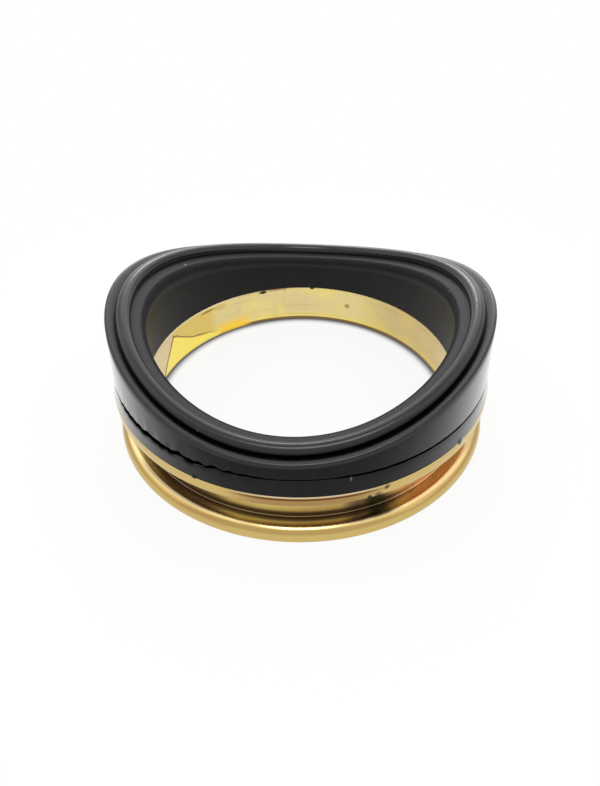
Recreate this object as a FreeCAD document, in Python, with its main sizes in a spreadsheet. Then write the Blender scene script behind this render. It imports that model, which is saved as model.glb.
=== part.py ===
"""Port seal of a rotary valve: a turned brass ring with a moulded nitrile seal bonded into its top.

The brass ring slides in the valve's port pocket, and an O-ring would sit in its outer groove.
The rubber seal ends in a saddle with one raised half-round bead, which presses on the rotor.
The origin is the centre of the brass ring's bottom face, with +Z up through the port.
The rotor's axis runs along Y, so the saddle is highest at +X and -X. All sizes are in millimetres.
"""

import FreeCAD, Part
import math
import os

import Sketcher


# Driving dimensions: alias, value, what it measures

DIMENSIONS = (
    ("port_bore_r", 38.1, "radius of the straight port bore through the brass"),
    ("floor_wall", 3.4, "brass wall between the port bore and the floor of the outer groove"),
    ("groove_depth", 4.5, "depth of the outer groove below the rim of the ring"),
    ("flange_thickness", 3.1, "height of the bottom flange, below the groove"),
    ("groove_width", 8.1, "height of the outer groove"),
    ("land_width", 3.0, "height of the upper land, above the groove"),
    ("rebate_wall", 2.0, "radial width of the rebate that holds the rubber tongue"),
    ("rebate_depth", 3.3, "depth of that rebate below the top of the brass"),
    ("flange_round", 2.2, "rounding of the flange's upper outer edge"),
    ("edge_break", 0.3, "chamfer of the other outer edges of the brass"),
    ("floor_bevel", 0.3, "bevel of the groove's two inner corners"),
    ("bore_chamfer", 0.5, "chamfer at the bottom of the port bore"),
    ("skirt_step", 0.15, "step in from the brass rim to the foot of the rubber wall"),
    ("parting_height", 4.3, "height of the mould's parting line above the brass"),
    ("parting_inset", 0.8, "step in from the brass rim to the wall at the parting line"),
    ("parting_notch", 0.3, "depth of the crease along the parting line"),
    ("parting_gap", 0.5, "height of that crease"),
    ("wall_inset", 1.75, "step in from the brass rim to the upper rubber wall"),
    ("wall_taper", 2.3, "height over which the wall draws in above the parting line"),
    ("lip_overhang", 2.5, "how far the rubber lip reaches into the port"),
    ("throat_height", 4.2, "height above the brass at which the lip is fully drawn in"),
    ("inner_land", 3.4, "radial width of the land inside the bead"),
    ("bead_width", 3.2, "radial width of the sealing bead"),
    ("bead_rise", 1.9, "height of the sealing bead above the inner land"),
    ("bead_foot", 0.2, "height of the bead's upright foot, where its round starts"),
    ("outer_drop", 0.15, "how much lower the outer land lies than the inner one"),
    ("crest_bevel", 0.5, "bevel of the outer edge of the outer land"),
    ("lip_bevel", 0.25, "bevel of the lip's upper inner edge"),
    ("seal_height", 7.5, "height of the inner land above the brass where the saddle is lowest"),
    ("rotor_r", 87.1, "radius of the rotor that the bead's crown fits"),
)


# Sizes that follow from the driving dimensions, as expressions on the sheet

FLOOR_R = "(Dims.port_bore_r + Dims.floor_wall)"
RIM_R = f"({FLOOR_R} + Dims.groove_depth)"
REBATE_R = "(Dims.port_bore_r + Dims.rebate_wall)"
GROOVE_TOP = "(Dims.flange_thickness + Dims.groove_width)"
BRASS_TOP = f"({GROOVE_TOP} + Dims.land_width)"
LEDGE = f"({BRASS_TOP} - Dims.rebate_depth)"

SKIRT_R = f"({RIM_R} - Dims.skirt_step)"
PARTING_R = f"({RIM_R} - Dims.parting_inset)"
PARTING_Z = f"({BRASS_TOP} + Dims.parting_height)"
WALL_R = f"({RIM_R} - Dims.wall_inset)"
LIP_R = "(Dims.port_bore_r - Dims.lip_overhang)"
BEAD_INNER_R = f"({LIP_R} + Dims.inner_land)"
BEAD_MIDDLE_R = f"({BEAD_INNER_R} + Dims.bead_width / 2)"
BEAD_OUTER_R = f"({BEAD_INNER_R} + Dims.bead_width)"
LAND_CYLINDER_R = "(Dims.rotor_r + Dims.bead_rise)"
OUTER_CYLINDER_R = f"({LAND_CYLINDER_R} + Dims.outer_drop)"
ROTOR_Z = f"({BRASS_TOP} + Dims.seal_height + {LAND_CYLINDER_R})"
BLANK_TOP = f"({ROTOR_Z} - sqrt({LAND_CYLINDER_R}^2 - {WALL_R}^2) + Dims.bead_rise)"

# The two cutting cylinders' length, a little more than the seal's outer diameter
CUTTER_LENGTH = f"(2 * {RIM_R} + 10)"

# How near an edge's radius or height has to be to the one looked for
EDGE_TOLERANCE = 0.02

# The bead and the bevels follow the saddle through this many radial sections
SECTION_COUNT = 48


def make_sheet(doc):
    """Write the driving dimensions, one per row: name, value, meaning."""
    sheet = doc.addObject("Spreadsheet::Sheet", "Dims")
    for row, (alias, value, meaning) in enumerate(DIMENSIONS, start=1):
        sheet.set(f"A{row}", alias)
        sheet.set(f"B{row}", str(value))
        sheet.set(f"C{row}", meaning)
        sheet.setAlias(f"B{row}", alias)
    doc.recompute()
    return sheet


def origin_feature(body, role):
    """Return the body's own origin plane or axis with this role."""
    return next(item for item in body.Origin.OriginFeatures if item.Role == role)


def evaluate(holder, expression):
    """Return the number that an expression on the sheet stands for."""
    value = holder.evalExpression(expression)
    return float(getattr(value, "Value", value))


def section_sketch(body, name, corners):
    """Draw a closed half section in the XZ plane. Each corner is a radius and a height expression."""
    sketch = body.newObject("Sketcher::SketchObject", name)
    sketch.AttachmentSupport = [(origin_feature(body, "XZ_Plane"), "")]
    sketch.MapMode = "FlatFace"
    points = [
        FreeCAD.Vector(evaluate(sketch, radius), evaluate(sketch, height) if height else 0, 0)
        for radius, height in corners
    ]
    for start, end in zip(points, points[1:] + points[:1]):
        sketch.addGeometry(Part.LineSegment(start, end), False)
    count = len(corners)
    for index in range(count):
        sketch.addConstraint(Sketcher.Constraint("Coincident", index, 2, (index + 1) % count, 1))
    for index, (radius, height) in enumerate(corners):
        place_corner(sketch, index, points[index], radius, height)
    return sketch


def place_corner(sketch, index, point, radius, height):
    """Tie one corner of a section to its radius and its height. No height means the base line."""
    across = sketch.addConstraint(Sketcher.Constraint("DistanceX", -1, 1, index, 1, point.x))
    sketch.setExpression(f"Constraints[{across}]", radius)
    if height:
        up = sketch.addConstraint(Sketcher.Constraint("DistanceY", -1, 1, index, 1, point.y))
        sketch.setExpression(f"Constraints[{up}]", height)
    else:
        sketch.addConstraint(Sketcher.Constraint("PointOnObject", index, 1, -1))


def revolve_section(body, name, sketch):
    """Turn a half section through a full circle about the port's axis."""
    turned = body.newObject("PartDesign::Revolution", name)
    turned.Profile = sketch
    turned.ReferenceAxis = (origin_feature(body, "Z_Axis"), [""])
    turned.Angle = 360.0
    body.Document.recompute()
    return turned


def round_edges(shape, radius, height):
    """Name the circular edges of this radius at this height."""
    names = []
    for index, edge in enumerate(shape.Edges, start=1):
        box = edge.BoundBox
        flat = box.ZLength < EDGE_TOLERANCE and abs(box.Center.z - height) < EDGE_TOLERANCE
        if flat and edge.Length > radius and abs(box.XMax - radius) < EDGE_TOLERANCE:
            names.append(f"Edge{index}")
    return names


def dress_edges(body, kind, name, edges, size_property, size):
    """Round or chamfer the named edges of the body's last feature."""
    if not edges:
        raise RuntimeError(f"{name}: no edge found")
    base = body.Tip
    feature = body.newObject(kind, name)
    feature.Base = (base, edges)
    feature.setExpression(size_property, size)
    body.Document.recompute()
    return feature


# Brass ring

def make_brass_ring(doc):
    """Turn the brass ring: bottom flange, O-ring groove, upper land and the rebate inside its top."""
    body = doc.addObject("PartDesign::Body", "brass_ring")
    body.Label = "brass_ring"
    corners = (
        ("Dims.port_bore_r", None),
        (RIM_R, None),
        (RIM_R, "Dims.flange_thickness"),
        (FLOOR_R, "Dims.flange_thickness"),
        (FLOOR_R, GROOVE_TOP),
        (RIM_R, GROOVE_TOP),
        (RIM_R, BRASS_TOP),
        (REBATE_R, BRASS_TOP),
        (REBATE_R, LEDGE),
        ("Dims.port_bore_r", LEDGE),
    )
    sketch = section_sketch(body, "ring_section", corners)
    revolve_section(body, "ring_turning", sketch)

    rim_r = evaluate(sketch, RIM_R)
    floor_r = evaluate(sketch, FLOOR_R)
    flange_top = evaluate(sketch, "Dims.flange_thickness")
    groove_top = evaluate(sketch, GROOVE_TOP)
    brass_top = evaluate(sketch, BRASS_TOP)

    floor_corners = [
        *round_edges(body.Shape, floor_r, flange_top),
        *round_edges(body.Shape, floor_r, groove_top),
    ]
    dress_edges(body, "PartDesign::Chamfer", "groove_corners", floor_corners, "Size", "Dims.floor_bevel")
    flange_edge = round_edges(body.Shape, rim_r, flange_top)
    dress_edges(body, "PartDesign::Fillet", "flange_edge", flange_edge, "Radius", "Dims.flange_round")
    outer_edges = [
        *round_edges(body.Shape, rim_r, 0),
        *round_edges(body.Shape, rim_r, groove_top),
        *round_edges(body.Shape, rim_r, brass_top),
    ]
    dress_edges(body, "PartDesign::Chamfer", "outer_edges", outer_edges, "Size", "Dims.edge_break")
    bore_mouth = round_edges(body.Shape, evaluate(sketch, "Dims.port_bore_r"), 0)
    dress_edges(body, "PartDesign::Chamfer", "bore_mouth", bore_mouth, "Size", "Dims.bore_chamfer")
    return body


# Rubber seal

def make_seal_blank(doc):
    """Turn the seal's blank: tongue, drawn-in lip, outer wall with its parting line, and a flat top."""
    body = doc.addObject("PartDesign::Body", "seal_blank")
    corners = (
        ("Dims.port_bore_r", LEDGE),
        (REBATE_R, LEDGE),
        (REBATE_R, BRASS_TOP),
        (SKIRT_R, BRASS_TOP),
        (PARTING_R, f"{PARTING_Z} - Dims.parting_gap / 2"),
        (f"{PARTING_R} - Dims.parting_notch", PARTING_Z),
        (PARTING_R, f"{PARTING_Z} + Dims.parting_gap / 2"),
        (WALL_R, f"{PARTING_Z} + Dims.wall_taper"),
        (WALL_R, BLANK_TOP),
        (LIP_R, BLANK_TOP),
        (LIP_R, f"{BRASS_TOP} + Dims.throat_height"),
    )
    sketch = section_sketch(body, "seal_section", corners)
    revolve_section(body, "seal_turning", sketch)
    return body


def make_rotor_cylinder(doc, name, radius):
    """Lay a cylinder about the rotor's axis, along Y, long enough to cut right across the seal."""
    cylinder = doc.addObject("Part::Cylinder", name)
    cylinder.setExpression("Radius", radius)
    cylinder.setExpression("Height", CUTTER_LENGTH)
    cylinder.Placement.Rotation = FreeCAD.Rotation(FreeCAD.Vector(1, 0, 0), 90)
    cylinder.setExpression("Placement.Base.y", f"{CUTTER_LENGTH} / 2")
    cylinder.setExpression("Placement.Base.z", ROTOR_Z)
    return cylinder


def make_port_cylinder(doc, name, radius):
    """Stand a cylinder on the port's axis, from inside the rubber up past the blank's top."""
    cylinder = doc.addObject("Part::Cylinder", name)
    cylinder.setExpression("Radius", radius)
    cylinder.setExpression("Height", ROTOR_Z)
    cylinder.setExpression("Placement.Base.z", f"{BRASS_TOP} + Dims.seal_height / 2")
    return cylinder


def combine(doc, kind, name, base, tool):
    """Join two shapes with a Part boolean."""
    result = doc.addObject(kind, name)
    result.Base = base
    result.Tool = tool
    doc.recompute()
    return result


def cut_lands(doc, blank):
    """Cut the blank's top to the inner land, then sink the outer land a little further."""
    land_sweep = make_rotor_cylinder(doc, "inner_land_sweep", LAND_CYLINDER_R)
    inner_cut = combine(doc, "Part::Cut", "inner_land_cut", blank, land_sweep)
    outer_sweep = make_rotor_cylinder(doc, "outer_land_sweep", OUTER_CYLINDER_R)
    outer_core = make_port_cylinder(doc, "outer_land_core", BEAD_MIDDLE_R)
    outer_tool = combine(doc, "Part::Cut", "outer_land_tool", outer_sweep, outer_core)
    return combine(doc, "Part::Cut", "outer_land_cut", inner_cut, outer_tool)


def saddle_point(radius, angle, cylinder_r, rotor_z):
    """Return the point of a saddle surface at this radius and angle round the port."""
    across = radius * math.cos(angle)
    height = rotor_z - math.sqrt(cylinder_r ** 2 - across ** 2)
    return FreeCAD.Vector(across, radius * math.sin(angle), height)


def closed_wire(points):
    """Join points in order into a closed wire of straight edges."""
    return Part.makePolygon([*points, points[0]])


def loft_along_saddle(doc, name, section_at):
    """Loft a ring through radial sections. section_at gives the closed wire at an angle."""
    angles = [2 * math.pi * index / SECTION_COUNT for index in range(SECTION_COUNT)]
    ring = doc.addObject("Part::Feature", name)
    solid, ruled, closed = True, True, True
    ring.Shape = Part.makeLoft([section_at(angle) for angle in angles], solid, ruled, closed)
    return ring


def make_bead(doc, sheet):
    """Make the sealing bead: a half-round rib along the saddle, whose crown fits the rotor.

    The flanks stand upright at the foot, so that they meet the lands in clean curves.
    """
    inner_r = evaluate(sheet, BEAD_INNER_R)
    middle_r = evaluate(sheet, BEAD_MIDDLE_R)
    outer_r = evaluate(sheet, BEAD_OUTER_R)
    land_r = evaluate(sheet, LAND_CYLINDER_R)
    rotor_z = evaluate(sheet, ROTOR_Z)
    foot = FreeCAD.Vector(0, 0, sheet.bead_foot)
    root = FreeCAD.Vector(0, 0, -evaluate(sheet, "Dims.outer_drop + Dims.bead_rise / 2"))

    def section_at(angle):
        inner = saddle_point(inner_r, angle, land_r, rotor_z)
        outer = saddle_point(outer_r, angle, land_r, rotor_z)
        middle = saddle_point(middle_r, angle, land_r, rotor_z)
        towards_rotor = FreeCAD.Vector(-middle.x, 0, rotor_z - middle.z).normalize()
        crown = middle + towards_rotor * sheet.bead_rise
        return Part.Wire([
            Part.Arc(inner + foot, crown, outer + foot).toShape(),
            Part.LineSegment(outer + foot, outer + root).toShape(),
            Part.LineSegment(outer + root, inner + root).toShape(),
            Part.LineSegment(inner + root, inner + foot).toShape(),
        ])

    return loft_along_saddle(doc, "sealing_bead", section_at)


def make_bevel_cutter(doc, name, sheet, wall_r, cylinder_r, bevel, outward):
    """Make the ring that bevels a saddle's edge. outward is 1 at the crest and -1 at the lip."""
    rotor_z = evaluate(sheet, ROTOR_Z)
    upright = FreeCAD.Vector(0, 0, 1)

    def section_at(angle):
        corner = saddle_point(wall_r, angle, cylinder_r, rotor_z)
        on_land = saddle_point(wall_r - outward, angle, cylinder_r, rotor_z)
        along_land = (on_land - corner).normalize() * bevel
        along_wall = upright * -bevel
        slope = along_land - along_wall
        away = FreeCAD.Vector(math.cos(angle), math.sin(angle), 0) * outward
        return closed_wire([
            corner + along_land + slope,
            corner + along_wall - slope,
            corner + (away + upright) * (4 * bevel),
        ])

    return loft_along_saddle(doc, name, section_at)


def make_rubber_seal(doc, sheet):
    """Join the bead to the lands, bevel the crest and the lip, and keep the result as one piece."""
    lands = cut_lands(doc, make_seal_blank(doc))
    saddle = combine(doc, "Part::Fuse", "saddle", lands, make_bead(doc, sheet))
    crest = make_bevel_cutter(
        doc, "crest_cutter", sheet,
        evaluate(sheet, WALL_R), evaluate(sheet, OUTER_CYLINDER_R), sheet.crest_bevel, 1,
    )
    crested = combine(doc, "Part::Cut", "crested_saddle", saddle, crest)
    lip = make_bevel_cutter(
        doc, "lip_cutter", sheet,
        evaluate(sheet, LIP_R), evaluate(sheet, LAND_CYLINDER_R), sheet.lip_bevel, -1,
    )
    seal = combine(doc, "Part::Cut", "rubber_seal", crested, lip)
    seal.Label = "rubber_seal"
    return seal


def check_document(doc):
    """Stop if any object failed to compute."""
    for item in doc.Objects:
        if "Invalid" in item.State or "Error" in item.State:
            raise RuntimeError(f"{item.Name} failed: {item.State}")


def write_part(body):
    """Check a sub-part's solid and write it to its STEP file."""
    shape = body.Shape
    if shape.isNull() or not shape.isValid() or len(shape.Solids) != 1:
        raise RuntimeError(f"{body.Label} is not one valid solid")
    shape.exportStep(os.path.join("parts", f"{body.Label}.step"))
    box = shape.BoundBox
    print(
        f"{body.Label}: volume {shape.Volume:.1f} mm3,"
        f" x {box.XMin:.2f} to {box.XMax:.2f}, z {box.ZMin:.2f} to {box.ZMax:.2f}"
    )


def main():
    """Build both pieces and write them."""
    doc = FreeCAD.newDocument("port_seal")
    sheet = make_sheet(doc)
    pieces = (make_brass_ring(doc), make_rubber_seal(doc, sheet))
    doc.recompute()
    check_document(doc)
    os.makedirs("parts", exist_ok=True)
    for piece in pieces:
        write_part(piece)


main()
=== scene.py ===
"""Studio scene of a port seal: a turned brass ring with a moulded rubber seal bonded into it.

Sizes are in millimetres in the classes and become metres when a mesh is finished. The frame is the
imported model's own: the origin lies at the centre of the brass foot, +Z runs up through the port and
the rotor's axis runs along Y, so the rubber saddle is highest at +X and -X.
"""

import logging
import math
from dataclasses import dataclass, field
from enum import Enum
from typing import Any

import bmesh
import bpy
from mathutils import Matrix, Vector, noise


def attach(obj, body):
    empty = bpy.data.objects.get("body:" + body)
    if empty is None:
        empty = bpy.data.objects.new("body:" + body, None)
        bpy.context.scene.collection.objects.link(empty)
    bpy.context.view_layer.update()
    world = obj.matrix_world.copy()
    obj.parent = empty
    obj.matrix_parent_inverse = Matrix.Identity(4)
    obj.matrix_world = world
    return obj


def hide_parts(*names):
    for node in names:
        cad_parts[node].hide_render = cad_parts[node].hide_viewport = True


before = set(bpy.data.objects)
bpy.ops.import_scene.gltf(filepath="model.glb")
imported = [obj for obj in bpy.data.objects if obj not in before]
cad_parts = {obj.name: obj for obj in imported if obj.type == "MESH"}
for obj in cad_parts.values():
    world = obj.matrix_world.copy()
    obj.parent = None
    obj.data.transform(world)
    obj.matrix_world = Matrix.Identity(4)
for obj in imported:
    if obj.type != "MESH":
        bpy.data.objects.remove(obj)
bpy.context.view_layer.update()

MM = 0.001
FULL_TURN = 2.0 * math.pi
SHARP_ANGLE = math.radians(35.0)
BLACK = (0.0, 0.0, 0.0, 1.0)
WHITE = (1.0, 1.0, 1.0, 1.0)
LOG = logging.getLogger("port_seal")

# Sizes that both pieces share, in millimetres
BORE_R = 38.1
REBATE_R = 40.1
LAND_R = 45.65
RIM_R = 46.0
LEDGE_Z = 10.9
BRASS_TOP_Z = 13.9

# How near to an edge of a section a point still counts as on it, and how near to each other two
# points are one, in millimetres
SLACK = 0.1
MERGE_DISTANCE = 1e-4

# Where a smooth step starts and ends, and what a node's input takes: a constant or a socket
Fade = tuple[float, float]
Socket = bpy.types.NodeSocket
Value = Socket | float
Colour = Socket | tuple[float, float, float, float]


# Colour and node helpers


def linear(hex_colour: str) -> tuple[float, float, float, float]:
    """Turn an sRGB hex colour into the linear colour that the shaders use.

    Args:
        hex_colour: six hex digits, with or without a leading #.

    Returns:
        Red, green, blue and an alpha of 1.
    """
    digits = hex_colour.lstrip("#")
    channels = [int(digits[start:start + 2], 16) / 255.0 for start in (0, 2, 4)]
    red, green, blue = (
        value / 12.92 if value <= 0.04045 else ((value + 0.055) / 1.055) ** 2.4
        for value in channels
    )
    return (red, green, blue, 1.0)


def add_node(
    tree: bpy.types.NodeTree,
    kind: str,
    settings: dict[str, Any] | None = None,
    inputs: dict[int | str, Any] | None = None,
) -> bpy.types.Node:
    """Add one node, set it up and link or fill its inputs.

    Args:
        tree: the node tree that gets the node.
        kind: the node's Blender type.
        settings: attributes of the node itself.
        inputs: for each input, by name or number, a value or the socket that feeds it.

    Returns:
        The new node.
    """
    node = tree.nodes.new(kind)
    for name, value in (settings or {}).items():
        setattr(node, name, value)
    for key, value in (inputs or {}).items():
        if isinstance(value, Socket):
            tree.links.new(value, node.inputs[key])
        else:
            node.inputs[key].default_value = value
    return node


def new_material(name: str) -> bpy.types.Material:
    """Return a new material with an empty node tree."""
    material = bpy.data.materials.new(name)
    material.use_nodes = True
    material.node_tree.nodes.clear()
    return material


@dataclass(frozen=True)
class Sector:
    """A part of the turn, in degrees: its middle, half its width and how far its ends fade."""

    angle: float
    half_width: float
    soft: float


@dataclass(frozen=True)
class Mark:
    """A small mark on a surface: a speck, a nick or a drop.

    The angle is in degrees and the lengths are in millimetres. Its height is tall times its width.
    """

    angle: float
    radius: float
    height: float
    size: float
    colour: str
    tall: float = 1.0
    strength: float = 1.0


@dataclass
class SurfaceCoordinates:
    """Sockets that say where on the ring a point lies, all from Object coordinates.

    The angle is never read as a number, because it jumps once a turn: masks use the direction.
    """

    tree: bpy.types.NodeTree
    place: Socket = field(init=False)
    direction: Socket = field(init=False)
    radius: Socket = field(init=False)
    height: Socket = field(init=False)

    def __post_init__(self) -> None:
        """Build the nodes that the sockets come from."""
        tree = self.tree
        source = add_node(tree, "ShaderNodeTexCoord")
        scaled = add_node(
            tree, "ShaderNodeVectorMath", {"operation": "SCALE"},
            {0: source.outputs["Object"], "Scale": 1.0 / MM},
        )
        self.place = scaled.outputs[0]
        flat = add_node(
            tree, "ShaderNodeVectorMath", {"operation": "MULTIPLY"},
            {0: self.place, 1: (1.0, 1.0, 0.0)},
        )
        length = add_node(
            tree, "ShaderNodeVectorMath", {"operation": "LENGTH"}, {0: flat.outputs[0]},
        )
        self.radius = length.outputs["Value"]
        unit = add_node(
            tree, "ShaderNodeVectorMath", {"operation": "NORMALIZE"}, {0: flat.outputs[0]},
        )
        self.direction = unit.outputs[0]
        parts = add_node(tree, "ShaderNodeSeparateXYZ", {}, {0: self.place})
        self.height = parts.outputs["Z"]

    def band(self, value: Value, start: float, end: float) -> Socket:
        """Return 0 before start, 1 past end and a smooth step between them, in either order."""
        step = add_node(
            self.tree, "ShaderNodeMapRange", {"interpolation_type": "SMOOTHSTEP"},
            {0: value, 1: start, 2: end, 3: 0.0, 4: 1.0},
        )
        return step.outputs[0]

    def gather(self, operation: str, values: tuple[Value, ...]) -> Value:
        """Return the result of an operation that takes up one value after another."""
        result = values[0]
        for value in values[1:]:
            step = add_node(
                self.tree, "ShaderNodeMath", {"operation": operation}, {0: result, 1: value},
            )
            result = step.outputs[0]
        return result

    def both(self, *factors: Value) -> Value:
        """Return the product of some factors, which is 1 only where all of them are."""
        return self.gather("MULTIPLY", factors)

    def either(self, *factors: Value) -> Value:
        """Return the largest of some factors."""
        return self.gather("MAXIMUM", factors)

    def total(self, *parts: Value) -> Value:
        """Return the sum of some parts."""
        return self.gather("ADD", parts)

    def past(self, value: Value, level: Value) -> Value:
        """Return how far a value is past a level."""
        return self.gather("SUBTRACT", (value, level))

    def slope(self, value: Value, gain: Value, base: Value) -> Socket:
        """Return a value times a gain, on top of a base."""
        step = add_node(
            self.tree, "ShaderNodeMath", {"operation": "MULTIPLY_ADD"},
            {0: value, 1: gain, 2: base},
        )
        return step.outputs[0]

    def turned_from(self, angle: float) -> Socket:
        """Return how far round a point lies from an angle, in degrees, up to 90 each way."""
        turn = math.radians(angle)
        sideways = add_node(
            self.tree, "ShaderNodeVectorMath", {"operation": "DOT_PRODUCT"},
            {0: self.direction, 1: (-math.sin(turn), math.cos(turn), 0.0)},
        )
        radians = add_node(
            self.tree, "ShaderNodeMath", {"operation": "ARCSINE"}, {0: sideways.outputs["Value"]},
        )
        return self.both(radians.outputs[0], math.degrees(1.0))

    def course(self, along: Socket, points: tuple[tuple[float, float], ...]) -> Value:
        """Return the height of a line of straight stretches.

        Args:
            along: how far round the point lies.
            points: the line's corners, each a place along and a height, in rising order.

        Returns:
            The line's height at that place, level beyond its ends.
        """
        height: Value = points[0][1]
        for (start, low), (end, high) in zip(points, points[1:]):
            stretch = add_node(
                self.tree, "ShaderNodeMapRange", {"interpolation_type": "LINEAR"},
                {0: along, 1: start, 2: end, 3: 0.0, 4: high - low},
            )
            height = self.total(height, stretch.outputs[0])
        return height

    def stripe(self, value: Value, half_width: float, soft: float) -> Socket:
        """Return 1 where a value is near 0 and 0 where it is further off than the half width."""
        off = add_node(self.tree, "ShaderNodeMath", {"operation": "ABSOLUTE"}, {0: value})
        return self.band(off.outputs[0], half_width + soft, half_width)

    def sector(self, part: Sector) -> Socket:
        """Return 1 within a part of the turn and 0 outside it."""
        centre = math.radians(part.angle)
        facing = add_node(
            self.tree, "ShaderNodeVectorMath", {"operation": "DOT_PRODUCT"},
            {0: self.direction, 1: (math.cos(centre), math.sin(centre), 0.0)},
        )
        inner = math.cos(math.radians(max(part.half_width - part.soft, 0.0)))
        outer = math.cos(math.radians(part.half_width + part.soft))
        return self.band(facing.outputs["Value"], outer, inner)

    def noise(
        self, size: tuple[float, float, float], detail: float, roughness: float = 0.5,
        distortion: float = 0.0, turned: bool = False,
    ) -> Socket:
        """Return a noise value.

        Args:
            size: the pattern's size in millimetres along X, Y and Z.
            detail: octaves of the noise.
            roughness: weight of each finer octave.
            distortion: how far the pattern is pushed about.
            turned: whether it runs round the port as a lathe tool's streaks do, with size[0] along
                the turn, size[1] unused and size[2] across it.

        Returns:
            The noise's factor, about 0.5 on average.
        """
        tree = self.tree
        if turned:
            along = add_node(
                tree, "ShaderNodeVectorMath", {"operation": "SCALE"},
                {0: self.direction, "Scale": RIM_R / size[0]},
            )
            across = self.both(self.total(self.height, self.radius), 1.0 / size[2])
            lift = add_node(tree, "ShaderNodeCombineXYZ", {}, {2: across})
            vector = add_node(
                tree, "ShaderNodeVectorMath", {"operation": "ADD"},
                {0: along.outputs[0], 1: lift.outputs[0]},
            ).outputs[0]
        else:
            vector = add_node(
                tree, "ShaderNodeVectorMath", {"operation": "DIVIDE"}, {0: self.place, 1: size},
            ).outputs[0]
        texture = add_node(
            tree, "ShaderNodeTexNoise", {},
            {"Vector": vector, "Scale": 1.0, "Detail": detail, "Roughness": roughness,
             "Distortion": distortion},
        )
        return texture.outputs[0]

    def spot(self, mark: Mark) -> Socket:
        """Return 1 on a small mark and 0 off it, with a ragged edge."""
        turn = math.radians(mark.angle)
        centre = (mark.radius * math.cos(turn), mark.radius * math.sin(turn), mark.height)
        offset = add_node(
            self.tree, "ShaderNodeVectorMath", {"operation": "SUBTRACT"},
            {0: self.place, 1: centre},
        )
        shaped = add_node(
            self.tree, "ShaderNodeVectorMath", {"operation": "MULTIPLY"},
            {0: offset.outputs[0], 1: (1.0, 1.0, 1.0 / mark.tall)},
        )
        away = add_node(
            self.tree, "ShaderNodeVectorMath", {"operation": "LENGTH"}, {0: shaped.outputs[0]},
        ).outputs["Value"]
        ragged = self.both(self.noise((0.9, 0.9, 0.9), 2.0), mark.size)
        return self.band(self.total(away, ragged), 1.9 * mark.size, mark.size)

    def tint(self, factor: Value, under: Colour, over: Colour) -> Socket:
        """Lay one colour over another by a factor from 0 to 1."""
        blend = add_node(
            self.tree, "ShaderNodeMix", {"data_type": "RGBA"}, {0: factor, 6: under, 7: over},
        )
        return blend.outputs[2]

    def lay(self, under: Colour, over: str, *factors: Value) -> Socket:
        """Lay a hex colour over another by the product of some factors."""
        return self.tint(self.both(*factors), under, linear(over))


# Finishes


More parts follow.
